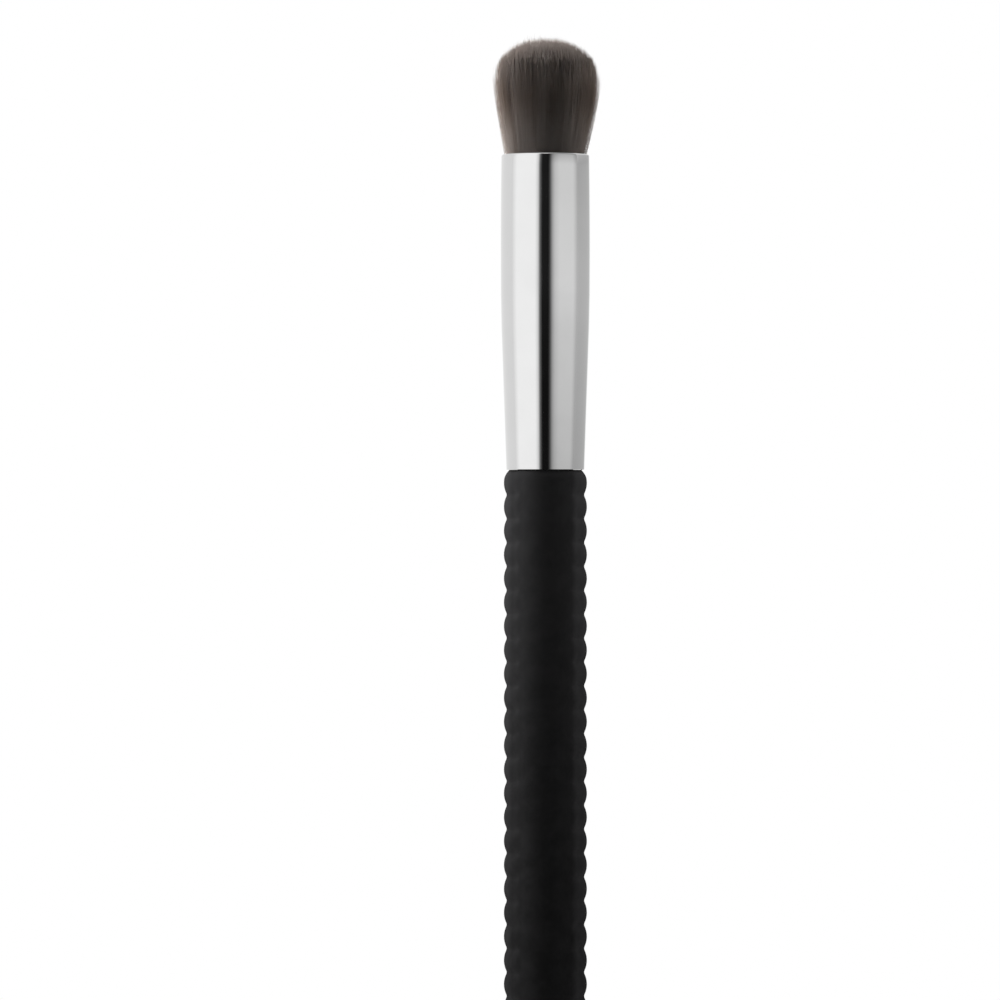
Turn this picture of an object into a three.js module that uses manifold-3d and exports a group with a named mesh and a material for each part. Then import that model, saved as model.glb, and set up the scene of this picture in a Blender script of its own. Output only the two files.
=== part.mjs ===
// A long-handled makeup brush with a dense domed tuft.
// The tuft is tied with thread and potted into a bright metal ferrule. The ferrule is glued over the end of a
// wooden dowel, and the dowel carries a rubber sleeve that is scalloped down both sides.
// Millimetres, +Z up along the brush, -Y to the front. The origin is the centre of the sleeve's flat rear end.

import * as THREE from "three";
import { mergeVertices } from "three/addons/utils/BufferGeometryUtils.js";
import Module from "manifold-3d";

// Fits: the play between two pieces that touch, and the room round the thread and round the bundle at the mouth
const FIT_GAP = 0.05;
const THREAD_ROOM = 0.15;
const BUNDLE_ROOM = 0.1;

// Handle core: a wooden dowel whose front end is the tenon
const CORE_RADIUS = 5.0;
const CORE_CHAMFER = 0.6;
const TENON_NOSE_LENGTH = 7.5;

// Glue grooves turned into the tenon, counted from the ferrule's rear edge
const GROOVE_COUNT = 3;
const GROOVE_START = 3;
const GROOVE_WIDTH = 1.4;
const GROOVE_LAND = 2.6;
const GROOVE_DEPTH = 0.4;

// Tenon glue: a collar between the tenon and the ferrule, which ends a little past the last groove
const GLUE_THICKNESS = 0.4;
const GLUE_END_LAND = 2.1;

// Grip sleeve: rubber, closed at the rear. Its front and back are round. Each side is two flats that meet in a
// scalloped ridge, whose crests stand a little beyond the round. The spread is the angle from ridge to crease.
const GRIP_WALL = 1.15;
const GRIP_END_WALL = 1.6;
const RIDGE_RISE = 0.05;
const FLAT_SPREAD = 45;
const SCALLOP_COUNT = 30;
const SCALLOP_PITCH = 3.58;
const SCALLOP_DEPTH = 0.45;

// Ferrule: a cone behind a slightly swollen barrel, hollow between the tenon and the plug
const FERRULE_WALL = 0.35;
const FERRULE_HOLLOW_LENGTH = 10.2;
const FERRULE_BARREL_LENGTH = 24;
const FERRULE_TAPER_RISE = 0.8;
const FERRULE_MOUTH_DRAW = 0.05;
const FERRULE_SWELL = 0.08;
const FERRULE_LIP_FLAT = 0.15;

// Tuft: the belly's height is above the ferrule's mouth, and its spread is beyond the bundle there
const TUFT_BELLY_HEIGHT = 10.8;
const TUFT_BELLY_SPREAD = 1.7;
const TUFT_DOME_HEIGHT = 6.75;
const STRAND_RADIUS = 0.205;
const STRAND_SPACE = 0.11;
const STRAND_TIP_LENGTH = 1.1;
const STRAND_SEAT_DEPTH = 4;

// Binding thread: a few turns round the root slices, which stand proud of it at both ends
const THREAD_DIAMETER = 0.4;
const THREAD_TURNS = 3;
const THREAD_GAP = 0.5;
const ROOT_MARGIN = 0.45;

// Potting plug: cast adhesive behind the root slices
const PLUG_LENGTH = 7;

// Counts: strands in each ring of the tuft, the shares of its rings in each bundle, and facets
const STRANDS_PER_RING_STEP = 6;
const CORE_BUNDLE_SHARE = 0.4;
const MIDDLE_BUNDLE_SHARE = 0.7;
const STRAND_SIDES = 3;
const ROUND_SEGMENTS = 24;
const SCALLOP_STEPS = 4;
const BARREL_STEPS = 6;
const LIP_STEPS = 3;
const THREAD_SIDES = 6;
const THREAD_STEPS_PER_TURN = 24;

// Handle sizes that follow from the ones above
const BORE_RADIUS = CORE_RADIUS + FIT_GAP;
const GRIP_RADIUS = BORE_RADIUS + GRIP_WALL;
const GRIP_LENGTH = SCALLOP_COUNT * SCALLOP_PITCH;
const GROOVE_PITCH = GROOVE_WIDTH + GROOVE_LAND;
const GLUE_LENGTH = GROOVE_START + (GROOVE_COUNT - 1) * GROOVE_PITCH + GROOVE_WIDTH + GLUE_END_LAND;
const TENON_LENGTH = GLUE_LENGTH + TENON_NOSE_LENGTH;

// Ferrule sizes: it is as long as what it holds
const THREAD_PITCH = THREAD_DIAMETER + THREAD_GAP;
const ROOT_LENGTH = THREAD_TURNS * THREAD_PITCH + THREAD_DIAMETER + 2 * ROOT_MARGIN;
const HELD_LENGTH = PLUG_LENGTH + FIT_GAP + ROOT_LENGTH + STRAND_SEAT_DEPTH;
const FERRULE_LENGTH = TENON_LENGTH + FERRULE_HOLLOW_LENGTH + HELD_LENGTH;
const FERRULE_TAPER_LENGTH = FERRULE_LENGTH - FERRULE_BARREL_LENGTH;
const FERRULE_BASE_HEIGHT = GRIP_LENGTH + FIT_GAP;
const FERRULE_BASE_RADIUS = CORE_RADIUS + FIT_GAP + GLUE_THICKNESS + FIT_GAP + FERRULE_WALL;
const FERRULE_SHOULDER_RADIUS = FERRULE_BASE_RADIUS + FERRULE_TAPER_RISE;
const FERRULE_MOUTH_RADIUS = FERRULE_SHOULDER_RADIUS - FERRULE_MOUTH_DRAW;

// Heights inside the ferrule, above its rear edge
const ROOT_TOP = FERRULE_LENGTH - STRAND_SEAT_DEPTH;
const ROOT_BOTTOM = ROOT_TOP - ROOT_LENGTH;
const PLUG_TOP = ROOT_BOTTOM - FIT_GAP;
const PLUG_BOTTOM = PLUG_TOP - PLUG_LENGTH;

const wasm = await Module();
wasm.setup();

const finishes = {
  rubber: { color: 0x1b1b1b, roughness: 0.55, metalness: 0 },
  brightMetal: { color: 0xdcdcdc, roughness: 0.06, metalness: 1 },
  wood: { color: 0xc8a26c, roughness: 0.7, metalness: 0 },
  glue: { color: 0xd8c79c, roughness: 0.4, metalness: 0 },
  epoxy: { color: 0xa9864c, roughness: 0.3, metalness: 0 },
  filament: { color: 0x4b423d, roughness: 0.6, metalness: 0 },
  thread: { color: 0xe6dfcd, roughness: 0.9, metalness: 0 },
};

function named(name, geometry, finish) {
  const mesh = new THREE.Mesh(geometry, new THREE.MeshStandardMaterial(finish));
  mesh.name = name;
  return mesh;
}

// Turns a profile of [radius, height] points round the +Z axis.
function turned(profile) {
  const points = profile.map(([radius, height]) => new THREE.Vector2(radius, height));
  return new THREE.LatheGeometry(points, ROUND_SEGMENTS).rotateX(Math.PI / 2);
}

// A closed geometry as a solid that can be joined to another.
function solidOf(geometry) {
  const bare = geometry.clone();
  bare.deleteAttribute("normal");
  bare.deleteAttribute("uv");
  const merged = mergeVertices(bare);
  return new wasm.Manifold(
    new wasm.Mesh({
      numProp: 3,
      vertProperties: new Float32Array(merged.getAttribute("position").array),
      triVerts: new Uint32Array(merged.index.array),
    }),
  );
}

function geometryOf(solid) {
  const mesh = solid.getMesh();
  const geometry = new THREE.BufferGeometry();
  geometry.setAttribute("position", new THREE.BufferAttribute(mesh.vertProperties, 3));
  geometry.setIndex(new THREE.BufferAttribute(mesh.triVerts, 1));
  return geometry;
}

// The ferrule's outer radius at a height above its rear edge: a straight cone, then a barrel that swells.
function ferruleRadius(height) {
  if (height <= FERRULE_TAPER_LENGTH) {
    return FERRULE_BASE_RADIUS + (FERRULE_TAPER_RISE * height) / FERRULE_TAPER_LENGTH;
  }
  const t = (height - FERRULE_TAPER_LENGTH) / FERRULE_BARREL_LENGTH;
  return FERRULE_SHOULDER_RADIUS - FERRULE_MOUTH_DRAW * t + FERRULE_SWELL * 4 * t * (1 - t);
}

function ferruleBore(height) {
  return ferruleRadius(height) - FERRULE_WALL;
}

// The reach of a ridge from the axis at a height: a row of arcs, one for each scallop.
function ridgeReach(height) {
  const arcRadius = (SCALLOP_PITCH ** 2 / 4 + SCALLOP_DEPTH ** 2) / (2 * SCALLOP_DEPTH);
  const fromCrest = ((height / SCALLOP_PITCH) % 1 - 0.5) * SCALLOP_PITCH;
  const dip = arcRadius - Math.sqrt(arcRadius ** 2 - fromCrest ** 2);
  return GRIP_RADIUS + RIDGE_RISE - dip;
}

// The sleeve's outer radius at an angle from the nearer ridge and at a height.
function gripRadius(angle, height) {
  const spread = THREE.MathUtils.degToRad(FLAT_SPREAD);
  if (angle >= spread) {
    return GRIP_RADIUS;
  }
  const reach = ridgeReach(height);
  const creaseX = GRIP_RADIUS * Math.cos(spread);
  const creaseY = GRIP_RADIUS * Math.sin(spread);
  return (reach * creaseY) / (creaseY * Math.cos(angle) + (reach - creaseX) * Math.sin(angle));
}

// The sleeve is turned round, then its outer face is drawn to the shape of the grip. Its bore stops short of the
// flat rear end.
function gripSleeve() {
  const profile = [[0, 0]];
  for (let step = 0; step <= SCALLOP_COUNT * SCALLOP_STEPS; step++) {
    profile.push([GRIP_RADIUS, (step / SCALLOP_STEPS) * SCALLOP_PITCH]);
  }
  profile.push([BORE_RADIUS, GRIP_LENGTH], [BORE_RADIUS, GRIP_END_WALL], [0, GRIP_END_WALL]);
  const geometry = turned(profile);
  const corner = new THREE.Vector3();
  const corners = geometry.getAttribute("position");
  for (let i = 0; i < corners.count; i++) {
    corner.fromBufferAttribute(corners, i);
    const radius = Math.hypot(corner.x, corner.y);
    if (radius > BORE_RADIUS + FIT_GAP) {
      const angle = Math.atan2(Math.abs(corner.y), Math.abs(corner.x));
      const draw = gripRadius(angle, corner.z) / radius;
      corners.setXYZ(i, corner.x * draw, corner.y * draw, corner.z);
    }
  }
  geometry.computeVertexNormals();
  return named("grip_sleeve", geometry, finishes.rubber);
}

// The tenon's grooves as [radius, height] points above the ferrule's rear edge, for a surface that stands
// clear of the wood by a gap.
function grooveOutline(gap) {
  const outline = [];
  const land = CORE_RADIUS + gap;
  const floor = land - GROOVE_DEPTH;
  for (let i = 0; i < GROOVE_COUNT; i++) {
    const low = GROOVE_START + i * GROOVE_PITCH + gap;
    const high = GROOVE_START + i * GROOVE_PITCH + GROOVE_WIDTH - gap;
    outline.push([land, low], [floor, low], [floor, high], [land, high]);
  }
  return outline;
}

function handleCore() {
  const rear = GRIP_END_WALL + FIT_GAP;
  const front = FERRULE_BASE_HEIGHT + TENON_LENGTH;
  const grooves = grooveOutline(0).map(([radius, height]) => [radius, FERRULE_BASE_HEIGHT + height]);
  const profile = [
    [0, rear],
    [CORE_RADIUS - CORE_CHAMFER, rear],
    [CORE_RADIUS, rear + CORE_CHAMFER],
    ...grooves,
    [CORE_RADIUS, front - CORE_CHAMFER],
    [CORE_RADIUS - CORE_CHAMFER, front],
    [0, front],
  ];
  return named("handle_core", turned(profile), finishes.wood);
}

// A drawn tube of even wall. The outer edge of its mouth is rounded down to a narrow flat.
function ferrule() {
  const heights = [0];
  for (let i = 0; i <= BARREL_STEPS; i++) {
    heights.push(FERRULE_TAPER_LENGTH + (i / BARREL_STEPS) * FERRULE_BARREL_LENGTH);
  }
  const inner = heights.map((height) => [ferruleBore(height), height]).reverse();
  const outer = heights.slice(0, -1).map((height) => [ferruleRadius(height), height]);
  const lipRadius = FERRULE_WALL - FERRULE_LIP_FLAT;
  for (let i = 0; i <= LIP_STEPS; i++) {
    const angle = ((i / LIP_STEPS) * Math.PI) / 2;
    outer.push([
      FERRULE_MOUTH_RADIUS - lipRadius * (1 - Math.cos(angle)),
      FERRULE_LENGTH - lipRadius * (1 - Math.sin(angle)),
    ]);
  }
  return named("ferrule", turned([...outer, ...inner, outer[0]]), finishes.brightMetal);
}

// The glue collar fills the space between the tenon with its grooves and the ferrule's tapering wall.
function tenonGlue() {
  const inner = CORE_RADIUS + FIT_GAP;
  const profile = [
    [inner, 0],
    [ferruleBore(0) - FIT_GAP, 0],
    [ferruleBore(GLUE_LENGTH) - FIT_GAP, GLUE_LENGTH],
    [inner, GLUE_LENGTH],
    ...grooveOutline(FIT_GAP).reverse(),
    [inner, 0],
  ];
  return named("tenon_glue", turned(profile), finishes.glue);
}

// The bundle's radius at its three stations. The thread draws it in at the roots, it fills the mouth, and it
// spreads to the belly.
const MOUTH_BORE_RADIUS = FERRULE_MOUTH_RADIUS - FERRULE_WALL;
const ROOT_BORE_RADIUS = Math.min(MOUTH_BORE_RADIUS, ferruleBore(ROOT_BOTTOM));
const ROOT_RADIUS = ROOT_BORE_RADIUS - THREAD_ROOM - THREAD_DIAMETER - FIT_GAP;
const MOUTH_BUNDLE_RADIUS = MOUTH_BORE_RADIUS - BUNDLE_ROOM;
const BELLY_RADIUS = MOUTH_BUNDLE_RADIUS + TUFT_BELLY_SPREAD;

// Strands stand in rings, packed as closely as their space allows.
const RING_STEP = 2 * STRAND_RADIUS + STRAND_SPACE;
const RING_COUNT = Math.floor((ROOT_RADIUS - STRAND_RADIUS) / RING_STEP);
const PACKED_RADIUS = RING_COUNT * RING_STEP + STRAND_RADIUS;

// The four stations of a strand in a ring, from its root to its tip on the dome. A strand stands for a lock
// of filaments, so it widens as the bundle spreads.
function strandStations(ring) {
  const share = (ring * RING_STEP) / PACKED_RADIUS;
  const dome = TUFT_DOME_HEIGHT * Math.sqrt(1 - share ** 2);
  const tip = FERRULE_LENGTH + TUFT_BELLY_HEIGHT + dome;
  const halfWidth = (bundleRadius) => (STRAND_RADIUS * bundleRadius) / PACKED_RADIUS;
  return [
    { height: ROOT_TOP - STRAND_RADIUS, radius: share * PACKED_RADIUS, half: STRAND_RADIUS },
    { height: FERRULE_LENGTH, radius: share * MOUTH_BUNDLE_RADIUS, half: halfWidth(MOUTH_BUNDLE_RADIUS) },
    { height: tip - STRAND_TIP_LENGTH, radius: share * BELLY_RADIUS, half: halfWidth(BELLY_RADIUS) },
    { height: tip, radius: share * BELLY_RADIUS, half: 0 },
  ];
}

// Adds one strand to a list of corners and a list of triangles: a closed spike with a few sides.
function addStrand(positions, triangles, ring, angle) {
  const stations = strandStations(ring);
  const tip = stations.pop();
  const first = positions.length / 3;
  for (const { height, radius, half } of stations) {
    for (let side = 0; side < STRAND_SIDES; side++) {
      const turn = angle + (side / STRAND_SIDES) * Math.PI * 2;
      const x = radius * Math.cos(angle) + half * Math.cos(turn);
      const y = radius * Math.sin(angle) + half * Math.sin(turn);
      positions.push(x, y, height);
    }
  }
  positions.push(tip.radius * Math.cos(angle), tip.radius * Math.sin(angle), tip.height);
  const top = first + (stations.length - 1) * STRAND_SIDES;
  const point = top + STRAND_SIDES;
  for (let side = 0; side < STRAND_SIDES; side++) {
    const next = (side + 1) % STRAND_SIDES;
    for (let low = first; low < top; low += STRAND_SIDES) {
      const high = low + STRAND_SIDES;
      triangles.push(low + side, low + next, high + next, low + side, high + next, high + side);
    }
    triangles.push(top + side, top + next, point);
  }
  for (let side = 1; side < STRAND_SIDES - 1; side++) {
    triangles.push(first, first + side + 1, first + side);
  }
}

// The strands of the rings from one number to another, as one geometry of separate spikes.
function strands(fromRing, toRing) {
  const positions = [];
  const triangles = [];
  for (let ring = fromRing; ring <= toRing; ring++) {
    const count = Math.max(1, ring * STRANDS_PER_RING_STEP);
    for (let i = 0; i < count; i++) {
      addStrand(positions, triangles, ring, (i / count) * Math.PI * 2);
    }
  }
  const geometry = new THREE.BufferGeometry();
  geometry.setAttribute("position", new THREE.Float32BufferAttribute(positions, 3));
  geometry.setIndex(triangles);
  return geometry;
}

// The potted slice that a bundle's strands stand on: a disc for the core, a ring for the others.
function rootSlice(innerRadius, outerRadius) {
  const profile = [
    [innerRadius, ROOT_BOTTOM],
    [outerRadius, ROOT_BOTTOM],
    [outerRadius, ROOT_TOP],
    [innerRadius, ROOT_TOP],
  ];
  if (innerRadius > 0) {
    profile.push(profile[0]);
  }
  return turned(profile);
}

// A bundle of rings joined to its root slice. Neighbouring slices part halfway between two rings.
function tuftBundle(name, fromRing, toRing) {
  const parting = (ring) => (ring + 0.5) * RING_STEP;
  const inner = fromRing === 0 ? 0 : parting(fromRing - 1) + FIT_GAP / 2;
  const outer = toRing === RING_COUNT ? ROOT_RADIUS : parting(toRing) - FIT_GAP / 2;
  const joined = solidOf(strands(fromRing, toRing)).add(solidOf(rootSlice(inner, outer)));
  return named(name, geometryOf(joined), finishes.filament);
}

function tuftBundles() {
  const coreEnd = Math.round(RING_COUNT * CORE_BUNDLE_SHARE);
  const middleEnd = Math.round(RING_COUNT * MIDDLE_BUNDLE_SHARE);
  return [
    tuftBundle("tuft_core", 0, coreEnd),
    tuftBundle("tuft_middle", coreEnd + 1, middleEnd),
    tuftBundle("tuft_outer", middleEnd + 1, RING_COUNT),
  ];
}

// The path of the binding thread: a helix round the root slices, midway along them.
class ThreadPath extends THREE.Curve {
  getPoint(t, target = new THREE.Vector3()) {
    const angle = t * THREAD_TURNS * Math.PI * 2;
    const radius = ROOT_RADIUS + FIT_GAP + THREAD_DIAMETER / 2;
    const height = (ROOT_TOP + ROOT_BOTTOM) / 2 + (t - 0.5) * THREAD_TURNS * THREAD_PITCH;
    return target.set(radius * Math.cos(angle), radius * Math.sin(angle), height);
  }
}

// The least gap between points of the path that lie half a turn or more apart.
function leastGap(points) {
  const apart = THREAD_STEPS_PER_TURN / 2;
  let least = Infinity;
  for (let i = 0; i < points.length; i++) {
    for (let j = i + apart; j < points.length; j++) {
      least = Math.min(least, points[i].distanceTo(points[j]) - THREAD_DIAMETER);
    }
  }
  return least;
}

function bindingThread() {
  const path = new ThreadPath();
  const steps = THREAD_TURNS * THREAD_STEPS_PER_TURN;
  const corners = [];
  for (let side = 0; side < THREAD_SIDES; side++) {
    const angle = (side / THREAD_SIDES) * Math.PI * 2;
    corners.push(new THREE.Vector2(Math.cos(angle), Math.sin(angle)).multiplyScalar(THREAD_DIAMETER / 2));
  }
  const section = new THREE.Shape(corners);
  console.log(`binding_thread: least gap between turns ${leastGap(path.getPoints(steps)).toFixed(2)} mm`);
  const geometry = new THREE.ExtrudeGeometry(section, { steps, extrudePath: path });
  return named("binding_thread", geometry, finishes.thread);
}

// The plug is cast in place, so its side follows the ferrule's wall.
function pottingPlug() {
  const profile = [
    [0, PLUG_BOTTOM],
    [ferruleBore(PLUG_BOTTOM) - FIT_GAP, PLUG_BOTTOM],
    [ferruleBore(PLUG_TOP) - FIT_GAP, PLUG_TOP],
    [0, PLUG_TOP],
  ];
  return named("potting_plug", turned(profile), finishes.epoxy);
}

const handle = new THREE.Group();
handle.add(gripSleeve(), handleCore());

const head = new THREE.Group();
head.position.z = FERRULE_BASE_HEIGHT;
head.add(ferrule(), tenonGlue(), pottingPlug(), bindingThread(), ...tuftBundles());

const brush = new THREE.Group();
brush.name = "domed_brush";
brush.add(handle, head);

export default brush;
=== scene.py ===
"""A long-handled makeup brush: a domed tuft, a bright ferrule and a rubber grip with scalloped sides.

Lengths are metres. +Z runs along the brush, from the flat rear end of the grip to the tuft.
"""

import logging
import math
from collections.abc import Callable
from dataclasses import dataclass
from enum import Enum
from itertools import pairwise

import bmesh
import bpy
import numpy as np
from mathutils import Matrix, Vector


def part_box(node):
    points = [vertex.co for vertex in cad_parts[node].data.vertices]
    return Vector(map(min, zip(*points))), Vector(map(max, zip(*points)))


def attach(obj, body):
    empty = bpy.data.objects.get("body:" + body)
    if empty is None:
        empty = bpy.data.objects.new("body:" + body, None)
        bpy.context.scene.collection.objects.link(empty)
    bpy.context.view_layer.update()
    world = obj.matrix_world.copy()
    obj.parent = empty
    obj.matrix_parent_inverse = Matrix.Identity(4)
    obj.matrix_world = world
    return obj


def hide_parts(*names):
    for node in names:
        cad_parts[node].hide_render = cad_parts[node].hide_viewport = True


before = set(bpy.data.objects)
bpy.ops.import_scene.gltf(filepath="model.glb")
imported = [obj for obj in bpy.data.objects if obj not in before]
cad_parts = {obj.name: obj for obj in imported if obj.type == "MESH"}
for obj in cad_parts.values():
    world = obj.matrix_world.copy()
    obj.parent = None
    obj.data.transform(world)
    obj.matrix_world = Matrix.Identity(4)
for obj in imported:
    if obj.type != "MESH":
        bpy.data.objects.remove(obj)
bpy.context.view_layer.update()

MM = 0.001
NOISE_RANGE = (0.3, 0.7)
LOG = logging.getLogger("brush")

Colour = tuple[float, float, float, float]
Point = tuple[float, float]
Socket = bpy.types.NodeSocket
Value = Socket | float | tuple[float, ...]
Inputs = dict[str | int, Value]
Piece = bpy.types.Object
Material = bpy.types.Material


class Slot(Enum):
    """Slot names for the finishes of the brush's new pieces."""

    FILAMENT = "filament"
    THREAD = "thread"
    BRIGHT_METAL = "bright_metal"
    RUBBER = "rubber"


def grey(value: float) -> Colour:
    """An opaque neutral colour of the given linear value."""
    return (value, value, value, 1.0)


class Nodes:
    """A node tree, with short calls that add nodes to it and join them."""

    def __init__(self, tree: bpy.types.NodeTree) -> None:
        """Takes the tree to work on."""
        self.tree = tree

    def join(self, source: Value, target: Socket) -> None:
        """Links an output to an input, or sets a constant on it.

        Args:
            source: The output or the constant.
            target: The input.
        """
        if isinstance(source, Socket):
            self.tree.links.new(source, target)
        else:
            target.default_value = source

    def add(self, kind: str, inputs: Inputs | None = None, **settings: object) -> bpy.types.Node:
        """Adds a node.

        Args:
            kind: The node's type, such as ShaderNodeMath.
            inputs: What goes into its inputs, by their names or numbers.
            settings: Properties to set on it.

        Returns:
            The new node.
        """
        node = self.tree.nodes.new(kind)
        for name, value in settings.items():
            setattr(node, name, value)
        for name, value in (inputs or {}).items():
            self.join(value, node.inputs[name])
        return node

    def math(self, operation: str, *numbers: Value) -> Socket:
        """Does one of the Math node's operations on numbers."""
        return self.add("ShaderNodeMath", dict(enumerate(numbers)), operation=operation).outputs[0]

    def show_white(self, kind: str, lit: Socket, fade: Value, end: str) -> None:
        """Lets a white glow show in place of a shader, which still lights what is near it.

        Args:
            kind: The type of the glow's node.
            lit: The shader's output.
            fade: How much of the glow camera, glossy and transmission rays see.
            end: The name of the tree's last node.
        """
        path = self.add("ShaderNodeLightPath")
        seen = path.outputs["Is Camera Ray"]
        for name in ("Is Glossy Ray", "Is Transmission Ray"):
            seen = self.math("MAXIMUM", seen, path.outputs[name])
        share = self.math("MULTIPLY", seen, fade)
        white = self.add(kind, {"Color": grey(1.0)})
        choice = self.add("ShaderNodeMixShader", {"Fac": share, 1: lit, 2: white.outputs[0]})
        self.join(choice.outputs[0], self.tree.nodes[end].inputs["Surface"])


class FinishNodes(Nodes):
    """The node tree of one finish."""

    def __init__(self, name: str) -> None:
        """Starts a material.

        Args:
            name: The material's name.
        """
        self.material = bpy.data.materials.new(name)
        self.material.use_nodes = True
        super().__init__(self.material.node_tree)
        self.shader = self.tree.nodes["Principled BSDF"]

    def wire(self, **inputs: Value) -> None:
        """Gives the shader's inputs, named with _ for each space, their outputs or constants."""
        for name, value in inputs.items():
            self.join(value, self.shader.inputs[name.replace("_", " ")])

    def place(self, lengthwise: float = 1.0) -> Socket:
        """Object coordinates, drawn in along the brush to a share."""
        inputs = {"Vector": self.add("ShaderNodeTexCoord").outputs["Object"], "Scale": (1.0, 1.0, lengthwise)}
        return self.add("ShaderNodeMapping", inputs).outputs["Vector"]

    def noise(self, size: float, detail: float = 2.0, lengthwise: float = 1.0) -> Socket:
        """Noise of about 0.2 to 0.8 in patches of a size, longer along the brush with a lower share."""
        inputs = {"Scale": 1 / size, "Detail": detail, "Vector": self.place(lengthwise)}
        return self.add("ShaderNodeTexNoise", inputs).outputs[0]

    def attribute(self, name: str) -> Socket:
        """A number that the mesh holds at each point."""
        return self.add("ShaderNodeAttribute", attribute_name=name).outputs["Fac"]

    def along(self, axis: str) -> Socket:
        """One of the Object coordinates, named X, Y or Z."""
        return self.add("ShaderNodeSeparateXYZ", {"Vector": self.place()}).outputs[axis]

    def levels(self, value: Socket, source: Point, target: Point, way: str = "SMOOTHSTEP") -> Socket:
        """A number moved from a source range into a target range, by a Map Range node's interpolation."""
        ends = dict(zip(("From Min", "From Max", "To Min", "To Max"), (*source, *target)))
        return self.add("ShaderNodeMapRange", {"Value": value, **ends}, interpolation_type=way).outputs[0]

    def ramp(self, value: Socket, stops: list[tuple[float, Colour]]) -> Socket:
        """A colour that depends on a number.

        Args:
            value: The number, 0 to 1.
            stops: Places along the ramp and their colours.

        Returns:
            The colour.
        """
        node = self.add("ShaderNodeValToRGB", {"Fac": value})
        elements = node.color_ramp.elements
        while len(elements) < len(stops):
            elements.new(1.0)
        for element, (place, colour) in zip(elements, stops):
            element.position = place
            element.color = colour
        return node.outputs["Color"]

    def mix(self, share: Value, first: Value, second: Value, blend: str = "MIX") -> Socket:
        """Mixes a share of the second colour into the first, by one of the Mix node's blends."""
        inputs = {"Factor": share, 6: first, 7: second}
        return self.add("ShaderNodeMix", inputs, data_type="RGBA", blend_type=blend).outputs[2]

    def bump(self, height: Socket, depth: float, strength: float = 1.0) -> None:
        """Raises the surface by a pattern, whose full range is as high as the depth."""
        inputs = {"Distance": depth, "Strength": strength, "Height": height}
        self.wire(Normal=self.add("ShaderNodeBump", inputs).outputs["Normal"])


@dataclass(frozen=True)
class Clouded:
    """A finish with clouds of a second tone, which has its own roughness, and a fine relief."""

    name: str
    tone: Colour
    cloud: Colour
    roughness: Point
    cloud_size: float = 3.0 * MM
    cloud_range: Point = NOISE_RANGE
    relief_size: float = 0.5 * MM
    relief_detail: float = 2.0
    relief_share: float = 1.0
    relief_depth: float = 0.05 * MM
    relief_strength: float = 0.5
    metallic: float = 0.0

    def material(self) -> Material:
        """Makes the finish.

        Returns:
            Its material.
        """
        nodes = FinishNodes(self.name)
        clouds = nodes.noise(self.cloud_size, detail=4.0)
        nodes.wire(
            Base_Color=nodes.mix(clouds, self.tone, self.cloud),
            Roughness=nodes.levels(clouds, self.cloud_range, self.roughness),
            Metallic=self.metallic,
        )
        relief = nodes.noise(self.relief_size, self.relief_detail, self.relief_share)
        nodes.bump(relief, self.relief_depth, self.relief_strength)
        return nodes.material


@dataclass(frozen=True)
class Rubber:
    """Matt black moulded rubber: a fine grain, smoother towards the front, and painted paler there, as
    painted light that falls off towards the rear end.

    Its colour also has painted highlights and painted shade across its width, by shares at places in
    millimetres from its middle.
    """

    colour: Colour = (0.0242, 0.0238, 0.0245, 1.0)
    # Painted light: the grip is painted paler towards the front, towards this colour.
    lit_colour: Colour = (0.0567, 0.0558, 0.0574, 1.0)
    wear_power: float = 2.0
    # Painted highlights and painted shade across the width of the grip.
    painted_light_across: tuple[Point, ...] = (
        (-5.6, 0.9), (-5.0, 0.68), (-3.4, 1.0), (-1.4, 0.76), (-0.3, 0.7),
        (1.9, 0.86), (3.9, 0.7), (4.6, 0.92), (5.4, 0.86),
    )
    half_width: float = 8.0 * MM
    grain_size: float = 0.11 * MM
    grain_depth: float = 0.006 * MM
    patch_size: float = 2.5 * MM
    patch_wear: float = 0.12
    matt: float = 0.62
    rubbed: float = 0.55
    shine: float = 0.005

    def material(self) -> Material:
        """Makes the finish.

        Returns:
            Its material.
        """
        nodes = FinishNodes("matt_rubber")
        length = height_of("grip_sleeve")[1]
        # Painted light: paler towards the front and darker towards the rear end, with random patches added.
        painted_falloff = nodes.math("POWER", nodes.math("DIVIDE", nodes.along("Z"), length), self.wear_power)
        patchy = nodes.noise(self.patch_size, detail=3.0)
        falloff_and_patches = nodes.math("ADD", painted_falloff, nodes.levels(patchy, NOISE_RANGE, (-self.patch_wear, self.patch_wear)))
        sides = (-self.half_width, self.half_width)
        across = nodes.levels(nodes.along("X"), sides, (0.0, 1.0), "LINEAR")
        width = 2 * self.half_width
        # Painted highlights and painted shade across the width.
        stops = [(0.5 + place * MM / width, grey(share)) for place, share in self.painted_light_across]
        black = nodes.mix(falloff_and_patches, self.colour, self.lit_colour)
        nodes.wire(
            Base_Color=nodes.mix(1.0, black, nodes.ramp(across, stops), "MULTIPLY"),
            Roughness=nodes.levels(falloff_and_patches, (0.0, 1.0), (self.matt, self.rubbed)),
            Specular_IOR_Level=self.shine,
        )
        nodes.bump(nodes.noise(self.grain_size), self.grain_depth)
        return nodes.material


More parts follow.
